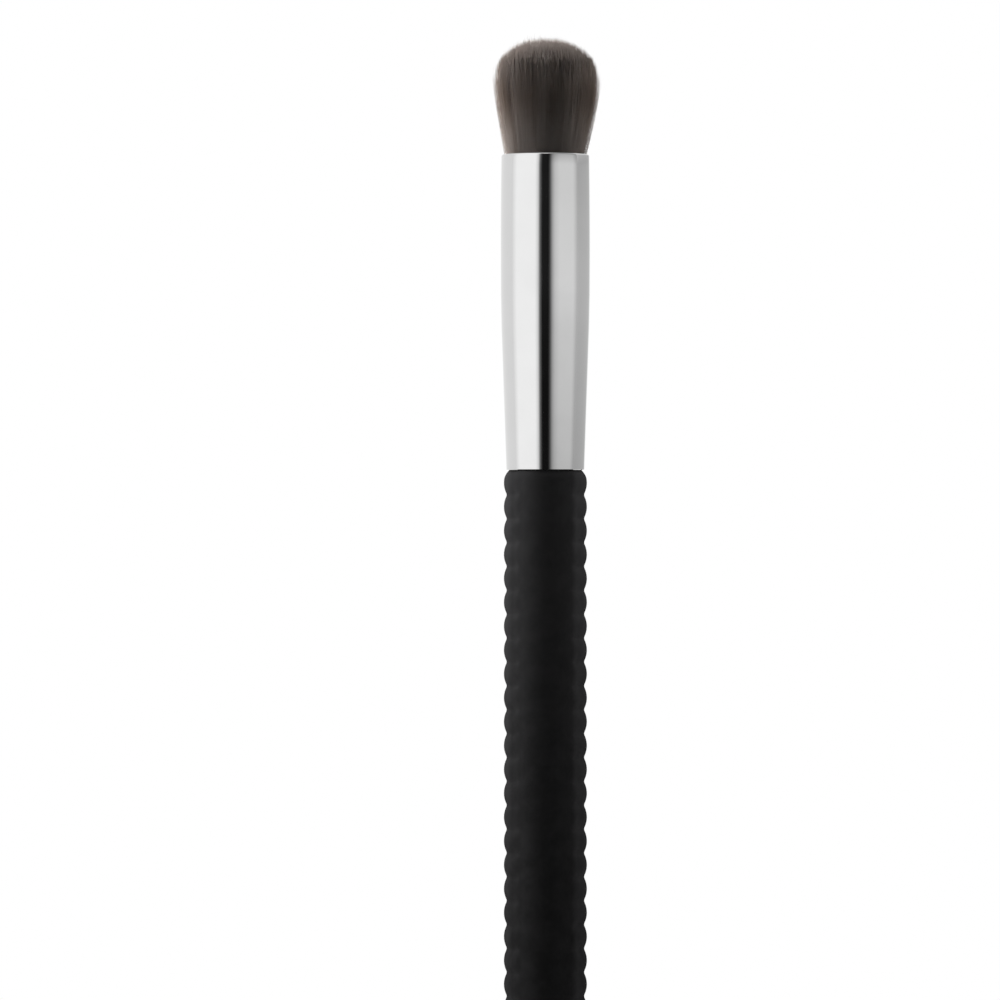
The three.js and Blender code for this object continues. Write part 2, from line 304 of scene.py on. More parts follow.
@dataclass(frozen=True)
class Filament:
    """Dark brown synthetic filament: each lock has its own shade; painted light makes the tapered tips paler
    and the filaments lighter near the mouth.
    """

    dark: Colour = (0.0092, 0.0064, 0.005, 1.0)
    middle: Colour = (0.02, 0.015, 0.012, 1.0)
    light: Colour = (0.0368, 0.0318, 0.029, 1.0)
    shades: tuple[float, float, float] = (0.05, 0.5, 0.95)
    tip: Colour = (0.096, 0.089, 0.086, 1.0)
    # Painted light: the tapered tips are painted paler, as light on the dome's top.
    tip_light_share: float = 0.18
    # Painted light: the filaments are painted lighter near the mouth.
    painted_root_light: float = 0.6
    root_light_reach: float = 9.0 * MM
    glow_depth: float = 0.3 * MM
    glow_colour: tuple[float, float, float] = (1.0, 0.9, 0.85)
    roughness: float = 0.5
    uneven_roughness: float = 0.08
    shine: float = 0.25
    streak_width: float = 0.25 * MM
    streak_share: float = 0.06
    streak_shade: float = 0.1

    def material(self) -> Material:
        """Makes the finish.

        Returns:
            Its material.
        """
        nodes = FinishNodes("brown_filament")
        streaks = nodes.noise(self.streak_width, lengthwise=self.streak_share)
        streaky = nodes.levels(streaks, NOISE_RANGE, (-self.streak_shade, self.streak_shade))
        mouth = height_of("ferrule")[1]
        # Painted light, lighter towards the mouth.
        low = nodes.levels(nodes.along("Z"), (mouth, mouth + self.root_light_reach), (self.painted_root_light, 0.0))
        shade = nodes.math("ADD", nodes.math("ADD", nodes.attribute("shade"), streaky), low)
        body = nodes.ramp(shade, list(zip(self.shades, (self.dark, self.middle, self.light))))
        # Painted light on the tips.
        painted_tip_light = nodes.levels(nodes.attribute("tip"), (0.0, 1.0), (0.0, self.tip_light_share))
        rough = (self.roughness - self.uneven_roughness, self.roughness + self.uneven_roughness)
        nodes.wire(
            Base_Color=nodes.mix(painted_tip_light, body, self.tip),
            Roughness=nodes.levels(shade, (0.0, 1.0), rough),
            Specular_IOR_Level=self.shine,
            Subsurface_Weight=1.0,
            Subsurface_Scale=self.glow_depth,
            Subsurface_Radius=self.glow_colour,
        )
        return nodes.material


@dataclass(frozen=True)
class PlainWood:
    """Unfinished pale dowel wood: long grain with darker pores."""

    pale: Colour = (0.6, 0.39, 0.18, 1.0)
    dark: Colour = (0.38, 0.22, 0.09, 1.0)
    grain_width: float = 0.9 * MM
    grain_share: float = 0.05
    grain_range: Point = (0.3, 0.75)
    pore_width: float = 0.18 * MM
    pore_share: float = 0.03
    pore_depth: float = 0.03 * MM
    pore_roughness: float = 0.2
    roughness: float = 0.7

    def material(self) -> Material:
        """Makes the finish.

        Returns:
            Its material.
        """
        nodes = FinishNodes("plain_wood")
        grain = nodes.noise(self.grain_width, detail=5.0, lengthwise=self.grain_share)
        pores = nodes.noise(self.pore_width, lengthwise=self.pore_share)
        rough = (self.roughness, self.roughness + self.pore_roughness)
        nodes.wire(
            Base_Color=nodes.ramp(grain, list(zip(self.grain_range, (self.pale, self.dark)))),
            Roughness=nodes.levels(pores, NOISE_RANGE, rough),
        )
        nodes.bump(pores, self.pore_depth)
        return nodes.material


@dataclass(frozen=True)
class CottonThread:
    """Pale waxed cotton: slanting lay lines and uneven fibre."""

    pale: Colour = (0.78, 0.73, 0.6, 1.0)
    shaded: Colour = (0.5, 0.45, 0.34, 1.0)
    lay_width: float = 0.14 * MM
    lay_depth: float = 0.05 * MM
    fibre_size: float = 0.06 * MM
    roughness: float = 0.8

    def material(self) -> Material:
        """Makes the finish.

        Returns:
            Its material.
        """
        nodes = FinishNodes("cotton_thread")
        inputs = {"Scale": 1 / (self.lay_width * 2 * math.pi), "Distortion": 1.0, "Vector": nodes.place()}
        lay = nodes.add("ShaderNodeTexWave", inputs, bands_direction="DIAGONAL").outputs["Fac"]
        fibre = nodes.noise(self.fibre_size, detail=3.0)
        nodes.wire(
            Base_Color=nodes.mix(lay, self.shaded, self.pale),
            Roughness=nodes.levels(fibre, NOISE_RANGE, (self.roughness, 1.0)),
        )
        nodes.bump(lay, self.lay_depth)
        return nodes.material


# Nearly a mirror, with faint lines left by drawing and a little handling.
POLISHED_PLATE = Clouded(
    "polished_plate",
    tone=grey(0.66),
    cloud=grey(0.62),
    roughness=(0.055, 0.1),
    cloud_size=5.0 * MM,
    cloud_range=(0.35, 0.75),
    relief_size=0.12 * MM,
    relief_detail=3.0,
    relief_share=0.02,
    relief_depth=0.0006 * MM,
    relief_strength=1.0,
    metallic=1.0,
)
# Set adhesives: glossy and cloudy, with small bubbles.
POTTED_ROOTS = Clouded("potted_roots", (0.05, 0.035, 0.025, 1.0), (0.12, 0.085, 0.05, 1.0), (0.35, 0.5))
AMBER_EPOXY = Clouded("amber_epoxy", (0.36, 0.19, 0.045, 1.0), (0.48, 0.3, 0.11, 1.0), (0.12, 0.27))
TAN_GLUE = Clouded("tan_glue", (0.62, 0.48, 0.25, 1.0), (0.74, 0.62, 0.4, 1.0), (0.3, 0.45))


def height_of(node: str) -> Point:
    """The lowest and highest Z of a CAD node."""
    low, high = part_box(node)
    return low[2], high[2]


def dress(piece: Piece, material: Material) -> None:
    """Gives a mesh object one material in place of its own."""
    piece.data.materials.clear()
    piece.data.materials.append(material)


def seat(piece: Piece, material: Material, slot: Slot, *nodes: str) -> None:
    """Dresses a modelled piece and puts it on the brush's one body.

    Args:
        piece: The piece.
        material: Its finish.
        slot: The slot that the finish is for. It is not used.
        nodes: The CAD nodes that it stands for.
    """
    dress(piece, material)
    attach(piece, "root")
    if nodes:
        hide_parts(*nodes)
    LOG.info("%s: %d faces for %s", piece.name, len(piece.data.polygons), ", ".join(nodes) or "no node")


def new_object(name: str, add: Callable[..., set[str]], **settings: object) -> Piece:
    """Adds an object.

    Args:
        name: The name of the new object and its data.
        add: The operator that adds it.
        settings: The operator's settings.

    Returns:
        The new object.
    """
    bpy.ops.object.select_all(action="DESELECT")
    add(**settings)
    added = bpy.context.object
    added.name = name
    added.data.name = name
    return added


def open_edit() -> None:
    """Opens the active mesh in edit mode with all of it selected."""
    bpy.ops.object.mode_set(mode="EDIT")
    bpy.ops.mesh.select_mode(type="VERT")
    bpy.ops.mesh.select_all(action="SELECT")


def apply_modifier(piece: Piece, kind: str, **settings: object) -> None:
    """Applies a modifier to an object and opens edit mode.

    Args:
        piece: The active object, in object mode.
        kind: The modifier's type.
        settings: Properties to set on it.
    """
    modifier = piece.modifiers.new(kind, kind)
    for name, value in settings.items():
        setattr(modifier, name, value)
    bpy.ops.object.modifier_apply(modifier=modifier.name)
    open_edit()


def select_where(piece: Piece, wanted: Callable[[Vector], bool]) -> None:
    """Selects the vertices of a mesh in edit mode by their place.

    Args:
        piece: The object being edited.
        wanted: Says whether a vertex at a place is selected.
    """
    mesh = bmesh.from_edit_mesh(piece.data)
    for vertex in mesh.verts:
        vertex.select = wanted(vertex.co)
    mesh.select_flush_mode()
    bmesh.update_edit_mesh(piece.data)


def extrude(rise: float) -> None:
    """Extrudes the selected ring along the brush."""
    bpy.ops.mesh.extrude_region_move(TRANSFORM_OT_translate={"value": (0.0, 0.0, rise)})


def draw_on(rise: float, height: float, share: float) -> None:
    """Extrudes the selected ring by a rise to a height and makes the new one a share as wide."""
    extrude(rise)
    bpy.ops.transform.resize(value=(share, share, 1.0), center_override=(0.0, 0.0, height))


def draw_rings(rings: list[Point]) -> None:
    """Draws the selected ring on through rings of heights and widths, of which it is the first."""
    for (height, width), (next_height, next_width) in pairwise(rings):
        draw_on(next_height - height, next_height, next_width / width)


def draw_shut(rise: float = 0.0) -> None:
    """Extrudes the selected ring by a rise and merges the new one into its middle."""
    extrude(rise)
    bpy.ops.mesh.merge(type="CENTER")


def close_edit(smooth_angle: float = 35.0) -> None:
    """Merges doubled points, turns the faces outwards and leaves edit mode with smooth shading.

    Args:
        smooth_angle: Edges sharper than this many degrees stay sharp.
    """
    bpy.ops.mesh.select_all(action="SELECT")
    bpy.ops.mesh.remove_doubles(threshold=0.0005 * MM)
    bpy.ops.mesh.normals_make_consistent(inside=False)
    bpy.ops.object.mode_set(mode="OBJECT")
    bpy.ops.object.shade_smooth_by_angle(angle=math.radians(smooth_angle))


def arc(x: float, y: float, radius: float, start: float, end: float, steps: int) -> list[Point]:
    """Points on an arc round a centre, in even steps from one angle to another, without the first."""
    angles = [start + (end - start) * step / steps for step in range(1, steps + 1)]
    return [(x + radius * math.cos(angle), y + radius * math.sin(angle)) for angle in angles]


def draw_outline(name: str, outline: list[Vector]) -> Piece:
    """Draws a line by extruding one vertex along it.

    Args:
        name: The new piece's name.
        outline: The line's points.

    Returns:
        The piece, in edit mode with all of it selected.
    """
    piece = new_object(name, bpy.ops.mesh.primitive_plane_add, size=MM)
    open_edit()
    bpy.ops.mesh.merge(type="CENTER")
    bpy.ops.transform.translate(value=outline[0])
    for place, next_place in pairwise(outline):
        bpy.ops.mesh.extrude_vertices_move(TRANSFORM_OT_translate={"value": next_place - place})
    bpy.ops.mesh.select_all(action="SELECT")
    return piece


def spin_outline(name: str, outline: list[Point], steps: int) -> Piece:
    """Draws a half section and spins it round the brush's axis.

    Args:
        name: The new piece's name.
        outline: The section's points, as radius and height.
        steps: How many steps the turn has.

    Returns:
        The piece, in edit mode.
    """
    piece = draw_outline(name, [Vector((radius, 0.0, height)) for radius, height in outline])
    bpy.ops.mesh.spin(steps=steps, angle=math.tau, center=(0.0, 0.0, 0.0), axis=(0.0, 0.0, 1.0))
    return piece


@dataclass
class Ferrule:
    """The drawn metal tube between the tuft and the grip."""

    base_radius: float = 5.85 * MM
    taper_rise: float = 0.8 * MM
    mouth_draw: float = 0.05 * MM
    swell: float = 0.08 * MM
    barrel_length: float = 24.0 * MM
    wall: float = 0.35 * MM
    lip_radius: float = 0.26 * MM
    rear_round: float = 0.08 * MM
    knee: float = 2.0 * MM
    barrel_steps: int = 24
    arc_steps: int = 6
    turn_steps: int = 192
    smooth_angle: float = 40.0

    def __post_init__(self) -> None:
        """Takes the tube's place from the frame: it sits tight on the sleeve."""
        self.base = height_of("grip_sleeve")[1]
        self.mouth = height_of("ferrule")[1]
        self.taper_length = self.mouth - self.base - self.barrel_length

    def radius(self, height: float) -> float:
        """The outer radius of the tube.

        Args:
            height: A height above its rear edge.

        Returns:
            The radius there.
        """
        if height <= self.taper_length:
            return self.base_radius + self.taper_rise * height / self.taper_length
        t = (height - self.taper_length) / self.barrel_length
        shoulder = self.base_radius + self.taper_rise
        return shoulder - self.mouth_draw * t + self.swell * 4 * t * (1 - t)

    def outline(self) -> list[Point]:
        """The section of the tube's wall, from its rear edge up the outside and down the inside.

        Returns:
            A closed outline.
        """
        length = self.mouth - self.base
        heights = [self.rear_round, self.taper_length / 2, self.taper_length - self.knee]
        barrel = self.barrel_length - self.knee
        for step in range(1, self.barrel_steps):
            heights.append(self.taper_length + self.knee + barrel * step / self.barrel_steps)
        heights[-1] = length - self.lip_radius
        outer = [(self.radius(0.0) - self.rear_round, 0.0)]
        outer += [(self.radius(height), height) for height in heights]
        lip = self.lip_radius
        outer += arc(self.radius(length) - lip, length - lip, lip, 0.0, math.pi / 2, self.arc_steps)
        inner = [(self.radius(height) - self.wall, height) for height in (length, *reversed(heights), 0.0)]
        section = [*outer, *inner, outer[0]]
        return [(radius, self.base + height) for radius, height in section]

    def build(self) -> None:
        """Models the tube and puts it on the brush."""
        piece = spin_outline("ferrule_tube", self.outline(), self.turn_steps)
        close_edit(self.smooth_angle)
        seat(piece, POLISHED_PLATE.material(), Slot.BRIGHT_METAL, "ferrule")


@dataclass
class GripSleeve:
    """The rubber sleeve: round in front and behind, with two flats on each side that meet in a ridge.

    The flats spread from the ridge by an angle in degrees, to a soft crease, and bow out a little.
    The ridge is scalloped, and the scallops make beads that reach in to an edge. The beads are fuller
    with a lower power, and deeper inside the ridge with a greater depth. They are set back a little
    from the front end. An end is eased by how far its rim turns in, over how much of its length.
    Places count as the same within one of a scallop's near parts, or of its cut parts at a cut.
    """

    round_radius: float = 6.2 * MM
    ridge_reach: float = 6.225 * MM
    ridge_round: float = 1.4 * MM
    flat_spread: float = 45.0
    flat_bow: float = 0.15 * MM
    bead_edge: float = 4.0 * MM
    bead_power: float = 0.6
    bead_depth: float = 0.8
    scallop_depth: float = 0.4 * MM
    valley_round: float = 0.7 * MM
    set_back: float = 0.15 * MM
    bore_radius: float = 5.05 * MM
    end_wall: float = 1.6 * MM
    front_ease: Point = (0.8 * MM, 1.65 * MM)
    rear_ease: Point = (0.35 * MM, 0.4 * MM)
    scallop_count: int = 30
    crest_steps: int = 5
    valley_steps: int = 3
    ridge_steps: int = 3
    round_steps: int = 11
    rim_steps: int = 6
    flat_steps: int = 5
    land_share: float = 0.985
    near_parts: int = 200
    cut_parts: int = 2000

    def __post_init__(self) -> None:
        """Takes the sleeve's length from the frame and places its creases."""
        self.rear, self.front = height_of("grip_sleeve")
        self.pitch = (self.front - self.rear) / self.scallop_count
        self.near = self.pitch / self.near_parts
        self.spread = math.radians(self.flat_spread)
        self.crease = self.round_radius * Vector((math.cos(self.spread), math.sin(self.spread)))

    def quarter(self) -> list[Vector]:
        """A quarter of the section at a crest: the ridge's round, a flat and half of the round back.

        Returns:
            Points from the ridge to the middle of the back.
        """
        centre = self.ridge_reach - self.ridge_round
        apart = self.crease - Vector((centre, 0.0))
        turn = math.atan2(apart.y, apart.x) - math.acos(self.ridge_round / apart.length)
        ridge = arc(centre, 0.0, self.ridge_round, 0.0, turn, self.ridge_steps)
        points = [Vector(place) for place in [(self.ridge_reach, 0.0), *ridge]]
        ridge_end = points[-1]
        outward = (self.crease - ridge_end).orthogonal().normalized()
        outward *= math.copysign(self.flat_bow, outward.x)
        for step in range(1, self.flat_steps + 1):
            share = step / self.flat_steps
            points.append(ridge_end.lerp(self.crease, share) + outward * 4 * share * (1 - share))
        back = arc(0.0, 0.0, self.round_radius, self.spread, math.pi / 2, self.round_steps)
        return points + [Vector(place) for place in back]

    def section(self) -> list[Vector]:
        """The whole section at a crest, as a closed outline."""
        half = self.quarter() + [Vector((-point.x, point.y)) for point in self.quarter()[-2::-1]]
        return half + [Vector((point.x, -point.y)) for point in half[-2::-1]]

    def scallop(self) -> list[Point]:
        """The outline of one scallop: an arc with half a rounded valley at each end.

        Returns:
            The ridge's reach and the height from the scallop's rear end, from one valley to the next.
        """
        half_pitch = self.pitch / 2
        bend = (self.scallop_depth**2 + half_pitch**2) / (2 * self.scallop_depth)
        lean = math.asin(half_pitch / bend)
        crest_bend = bend - self.valley_round
        crest = arc(self.ridge_reach - crest_bend, 0.0, crest_bend, 0.0, lean, self.crest_steps)
        centre = self.ridge_reach - self.scallop_depth + self.valley_round
        valley = arc(centre, half_pitch, -self.valley_round, lean, 0.0, self.valley_steps)
        half = [(self.ridge_reach, 0.0), *crest, *valley]
        rear_half = [(reach, half_pitch - offset) for reach, offset in reversed(half)]
        return rear_half + [(reach, half_pitch + offset) for reach, offset in half[1:]]

    def at_level(self, height: float) -> Callable[[Vector], bool]:
        """A test for the vertices at a height."""
        return lambda place: abs(place.z - height) < self.near

    def draw_sides(self, piece: Piece, height: float, old_reach: float, reach: float) -> None:
        """Draws the flats of one ring in or out, most at the ridges and less and less past the creases.

        Args:
            piece: The sleeve, in edit mode.
            height: The ring's height.
            old_reach: How far its ridges reach.
            reach: How far they are to reach.
        """
        in_ring = self.at_level(height)
        for point in self.quarter():
            share = (point.x - self.bead_edge) / (self.ridge_reach - self.bead_edge)
            if share <= 0:
                continue
            full = share**self.bead_power * (1 + self.bead_depth * (1 - share))
            old_x = point.x - (self.ridge_reach - old_reach) * full
            x = point.x - (self.ridge_reach - reach) * full
            select_where(piece, lambda place: in_ring(place) and abs(abs(place.y) - point.y) < self.near)
            bpy.ops.transform.resize(value=(x / old_x, 1.0, 1.0), center_override=(0.0, 0.0, height))

    def model_scallop(self) -> Piece:
        """Draws the section and extrudes it ring by ring through one scallop.

        Returns:
            The sleeve's first scallop, in edit mode.
        """
        rings = self.scallop()
        start = self.rear - self.set_back
        outline = [Vector((*point, start)) for point in self.section()]
        piece = draw_outline("grip_sleeve_scalloped", outline)
        bpy.ops.mesh.remove_doubles(threshold=self.near)
        self.draw_sides(piece, start, self.ridge_reach, rings[0][0])
        for (reach, height), (next_reach, next_height) in pairwise(rings):
            select_where(piece, self.at_level(start + height))
            extrude(next_height - height)
            self.draw_sides(piece, start + next_height, reach, next_reach)
        return piece

    def ease_end(self, piece: Piece, end: float, ease: Point, up: float) -> None:
        """Cuts an end of the row short and turns its rim in, more and more, to a flat face.

        Args:
            piece: The sleeve, in edit mode.
            end: The height of the finished face.
            ease: How far the rim turns in, and the length over which it does.
            up: 1 for the front end, -1 for the rear.
        """
        inset, length = ease
        start = end - up * length
        bpy.ops.mesh.select_all(action="SELECT")
        plane = {"plane_co": (0.0, 0.0, start), "plane_no": (0.0, 0.0, up)}
        bpy.ops.mesh.bisect(**plane, clear_outer=True, threshold=self.pitch / self.cut_parts)
        select_where(piece, self.at_level(start))
        shares = [step / self.rim_steps for step in range(self.rim_steps + 1)]
        turn_in = inset / self.round_radius
        draw_rings([(start + up * length * share, 1 - turn_in * share**2) for share in shares])
        draw_on(0.0, end, self.land_share)

    def bore_out(self, piece: Piece) -> None:
        """Joins the front face to a round bore and sinks the bore towards the rear end.

        Args:
            piece: The sleeve, in edit mode with the front face's inner ring selected.
        """
        count = len(self.section()) - 1
        middle = (0.0, 0.0, self.front)
        bpy.ops.mesh.hide(unselected=True)
        bpy.ops.mesh.primitive_circle_add(vertices=count, radius=self.bore_radius, location=middle)
        bpy.ops.mesh.select_all(action="SELECT")
        bpy.ops.mesh.bridge_edge_loops()
        bpy.ops.mesh.reveal(select=False)
        inside = self.bore_radius + self.near
        select_where(piece, lambda place: self.at_level(self.front)(place) and place.xy.length < inside)
        floor = self.rear + self.end_wall
        draw_on(floor - self.front, floor, 1.0)
        draw_on(0.0, floor, self.land_share)
        draw_shut()

    def build(self) -> None:
        """Models the sleeve and puts it on the brush."""
        piece = self.model_scallop()
        close_edit()
        apply_modifier(
            piece,
            "ARRAY",
            count=self.scallop_count,
            use_relative_offset=False,
            use_constant_offset=True,
            constant_offset_displace=(0.0, 0.0, self.pitch),
            use_merge_vertices=True,
            merge_threshold=self.near,
        )
        self.ease_end(piece, self.rear, self.rear_ease, -1.0)
        draw_shut()
        self.ease_end(piece, self.front, self.front_ease, 1.0)
        self.bore_out(piece)
        close_edit()
        seat(piece, Rubber().material(), Slot.RUBBER, "grip_sleeve")


@dataclass(frozen=True)
class FilamentShape:
    """One filament, one unit tall and one unit thick, with a tapered tip."""

    shares: tuple[float, ...]
    widths: tuple[float, ...]
    sides: int = 3
    smooth_angle: float = 180.0

    def model(self) -> bpy.types.Mesh:
        """Models the filament upright on the origin, as a tube that is drawn up ring by ring to a point.

        Returns:
            Its mesh.
        """
        piece = new_object("filament", bpy.ops.mesh.primitive_circle_add, vertices=self.sides, radius=1.0)
        open_edit()
        draw_rings(list(zip(self.shares, self.widths)))
        draw_shut(1.0 - self.shares[-1])
        close_edit(self.smooth_angle)
        mesh = piece.data
        bpy.data.objects.remove(piece)
        return mesh


@dataclass(frozen=True)
class TuftLayer:
    """One of the rings of filaments that the tuft is laid up from, each round the one before."""

    piece: str
    node: str
    shape: FilamentShape
    outer_share: float


PLAIN_FILAMENT = FilamentShape((0.0, 0.19, 0.55, 0.8, 0.92), (1.0, 1.0, 1.05, 0.95, 0.55))
FACE_FILAMENT = FilamentShape(
    (0.0, 0.2, 0.35, 0.5, 0.64, 0.77, 0.88, 0.95), (0.65, 0.65, 0.72, 0.85, 0.95, 0.92, 0.7, 0.42)
)
LAYERS = (
    TuftLayer("tuft_heart", "tuft_core", PLAIN_FILAMENT, outer_share=0.44),
    TuftLayer("tuft_body", "tuft_middle", PLAIN_FILAMENT, outer_share=0.7),
    TuftLayer("tuft_jacket", "tuft_outer", PLAIN_FILAMENT, outer_share=0.8),
    TuftLayer("tuft_face", "tuft_outer", FACE_FILAMENT, outer_share=1.1),
)


@dataclass
class Tuft:
    """The dense head of filaments: tied in at the roots, flared above the mouth and shaped to a dome."""

    root_radius: float = 5.4 * MM
    mouth_radius: float = 6.19 * MM
    belly_radius: float = 8.2 * MM
    belly_height: float = 11.0 * MM
    dome_height: float = 6.4 * MM
    dome_power: float = 2.15
    flare_bow: float = 0.25
    seat_depth: float = 4.0 * MM
    root_length: float = 4.0 * MM
    root_disc_radius: float = 5.65 * MM
    root_disc_edge: float = 0.15 * MM
    root_disc_steps: int = 64
    lean: float = 0.2 * MM
    filament_radius: float = 0.052 * MM
    filament_range: Point = (0.85, 1.15)
    filament_count: int = 10400
    filament_shade: float = 0.09
    middle_shade: float = 0.5
    fine_from: float = 0.78
    fine_to: float = 0.95
    fine_share: float = 0.06
    uneven_place: float = 0.25
    lock_count: int = 520
    lock_draw: float = 0.12
    lock_power: int = 2
    lock_shade: float = 0.21
    lock_cut: float = 0.04 * MM
    uneven_cut: float = 0.24 * MM
    shoulder_cut: float = 1.4 * MM
    shoulder_power: int = 4
    stray_share: float = 0.012
    stray_reach: float = 0.55 * MM
    wander: float = 0.08 * MM
    wander_power: int = 3
    tip_length: float = 3.0 * MM
    tip_range: Point = (0.3, 1.7)
    cell_margin: Point = (0.1, 0.05)
    seed: int = 11

    def __post_init__(self) -> None:
        """Takes the mouth's height from the frame and spreads the locks."""
        self.mouth = height_of("ferrule")[1]
        self.chance = np.random.default_rng(self.seed)
        self.locks = self.spiral(self.lock_count)
        self.lock_shades = self.chance.normal(0.0, self.lock_shade, self.lock_count)
        self.lock_rises = self.chance.normal(0.0, self.lock_cut, self.lock_count)

    @staticmethod
    def spiral(count: int) -> np.ndarray:
        """Spreads points evenly over a disc.

        Args:
            count: How many points there are.

        Returns:
            Their places in a disc of radius 1, from the middle outwards.
        """
        turn = math.pi * (3 - math.sqrt(5))
        number = np.arange(count)
        radius = np.sqrt((number + 0.5) / count)
        return np.stack([radius * np.cos(number * turn), radius * np.sin(number * turn)], axis=1)

    def fineness(self, share: np.ndarray) -> np.ndarray:
        """How thick the filaments are at shares of the bundle's radius: full inside, hair-thin outside."""
        t = np.clip((share - self.fine_from) / (self.fine_to - self.fine_from), 0.0, 1.0)
        return 1 - (1 - self.fine_share) * t * t * (3 - 2 * t)

    def bundle_radius(self, height: np.ndarray) -> np.ndarray:
        """The radius of the bundle.

        Args:
            height: Heights above the mouth.

        Returns:
            The radius at each height.
        """
        t = np.clip(height / self.belly_height, 0.0, 1.0)
        flare = (self.belly_radius - self.mouth_radius) * t * (1 + self.flare_bow - self.flare_bow * t)
        drawn_in = (self.mouth_radius - self.root_radius) * np.clip(-height / self.seat_depth, 0.0, 1.0)
        return self.mouth_radius + flare - drawn_in

    def dome(self, share: np.ndarray) -> np.ndarray:
        """The dome's height above the mouth at shares of the belly's radius."""
        level = np.clip(1 - share**self.dome_power, 0.0, 1.0) ** (1 / self.dome_power)
        return self.belly_height + self.dome_height * level

    def lay_up(self, layer: TuftLayer, places: np.ndarray) -> Piece:
        """Copies the layer's filament to each place, bends the copies and cuts them to the dome.

        Args:
            layer: The layer to make.
            places: Where its filaments stand in a disc of radius 1.

        Returns:
            The layer, as one mesh of separate filaments.
        """
        pattern = layer.shape.model()
        corners = np.array([vertex.co for vertex in pattern.vertices])
        faces = [list(face.vertices) for face in pattern.polygons]
        bpy.data.meshes.remove(pattern)
        count = len(places)
        lock = np.argmin(((places[:, None, :] - self.locks[None, :, :]) ** 2).sum(axis=2), axis=1)
        share = np.minimum(np.hypot(*places.T), 1.0)
        shorter = self.shoulder_cut * share**self.shoulder_power * np.abs(self.chance.normal(0.0, 1.0, count))
        uneven = self.lock_rises[lock] + self.uneven_cut * self.chance.normal(0.0, 1.0, count)
        tip = self.dome(share) + uneven - shorter
        along = corners[None, :, 2]
        height = -self.seat_depth + (tip + self.seat_depth)[:, None] * along
        drawn = self.lock_draw * along**self.lock_power
        disc = places[:, None, :] + (self.locks[lock] - places)[:, None, :] * drawn[:, :, None]
        stray = self.chance.random(count) < self.stray_share
        reach = np.where(stray, self.chance.random(count) * self.stray_reach, 0.0)
        drift = places * reach[:, None] + self.chance.normal(0.0, self.wander, (count, 2))
        drifted = drift[:, None, :] * (along**self.wander_power)[:, :, None]
        ground = disc * self.bundle_radius(height)[:, :, None] + drifted
        length = self.belly_height + self.dome_height
        ground[:, :, 0] += self.lean * np.sin(math.pi * np.clip(height / length, 0.0, 1.0))
        thickness = self.filament_radius * self.chance.uniform(*self.filament_range, count)
        thickness *= self.fineness(share)
        ground += corners[None, :, :2] * thickness[:, None, None]
        points = np.concatenate([ground, (self.mouth + height)[:, :, None]], axis=2)
        offsets = np.arange(count)[:, None] * len(corners)
        copies = [face for face_set in faces for face in (np.array(face_set)[None, :] + offsets).tolist()]
        mesh = bpy.data.meshes.new(layer.piece)
        mesh.from_pydata(points.reshape(-1, 3), [], copies)
        mesh.shade_smooth()
        own_shade = self.chance.normal(0.0, self.filament_shade, count)
        shade = self.middle_shade + self.lock_shades[lock] + own_shade
        # How far from its tip each filament is painted paler, as painted light on the dome.
        pale_length = self.tip_length * self.chance.uniform(*self.tip_range, count)
        from_tip = (tip[:, None] - height) / pale_length[:, None]
        self.record_numbers(mesh, "shade", np.repeat(shade, len(corners)))
        self.record_numbers(mesh, "tip", np.clip(1 - from_tip, 0.0, 1.0).ravel())
        self.lay_out(mesh, corners, faces, count)
        piece = bpy.data.objects.new(layer.piece, mesh)
        bpy.context.scene.collection.objects.link(piece)
        return piece

    @staticmethod
    def record_numbers(mesh: bpy.types.Mesh, name: str, values: np.ndarray) -> None:
        """Stores a number at each point of a mesh, under a name, for its finish to read."""
        attribute = mesh.attributes.new(name, "FLOAT", "POINT")
        attribute.data.foreach_set("value", values.astype(np.float32))

    def lay_out(self, mesh: bpy.types.Mesh, corners: np.ndarray, faces: list[list[int]], count: int) -> None:
        """Gives each filament a cell of its own in a UV map of the filaments.

        Args:
            mesh: The mesh of all the filaments.
            corners: The points of one filament.
            faces: The faces of one filament. The mesh has all copies of the first, then of the next.
            count: How many filaments there are.
        """
        cells = math.ceil(math.sqrt(count))
        aside, below = self.cell_margin
        across = 0.5 + (0.5 - aside) * corners[:, 0] / np.abs(corners[:, 0]).max()
        inside = np.stack([across, below + (1 - 2 * below) * corners[:, 2]], axis=1)
        cell = np.stack([np.arange(count) % cells, np.arange(count) // cells], axis=1)[:, None, :]
        loops = np.concatenate([(cell + inside[face]).reshape(-1, 2) for face in faces])
        mesh.uv_layers.new(name="OFBake").data.foreach_set("uv", (loops / cells).astype(np.float32).ravel())

    def build_roots(self) -> None:
        """Models the disc of potted roots that the filaments stand in."""
        top = self.mouth - self.seat_depth
        foot = top - self.root_length
        edge = self.root_disc_edge
        outer = self.root_disc_radius
        rim = [(outer - edge, foot), (outer, foot + edge), (outer, top - edge), (outer - edge, top)]
        piece = spin_outline("tuft_roots", [(0.0, foot), *rim, (0.0, top)], self.root_disc_steps)
        close_edit()
        seat(piece, POTTED_ROOTS.material(), Slot.FILAMENT)

    def build(self) -> None:
        """Lays up the tuft from its disc of roots and its layers."""
        finish = Filament().material()
        places = self.spiral(self.filament_count)
        spacing = 1 / math.sqrt(self.filament_count)
        places += self.chance.normal(0.0, self.uneven_place * spacing, places.shape)
        share = np.hypot(*places.T)
        self.build_roots()
        inner_share = 0.0
        for layer in LAYERS:
            piece = self.lay_up(layer, places[(share >= inner_share) & (share < layer.outer_share)])
            seat(piece, finish, Slot.FILAMENT, layer.node)
            inner_share = layer.outer_share


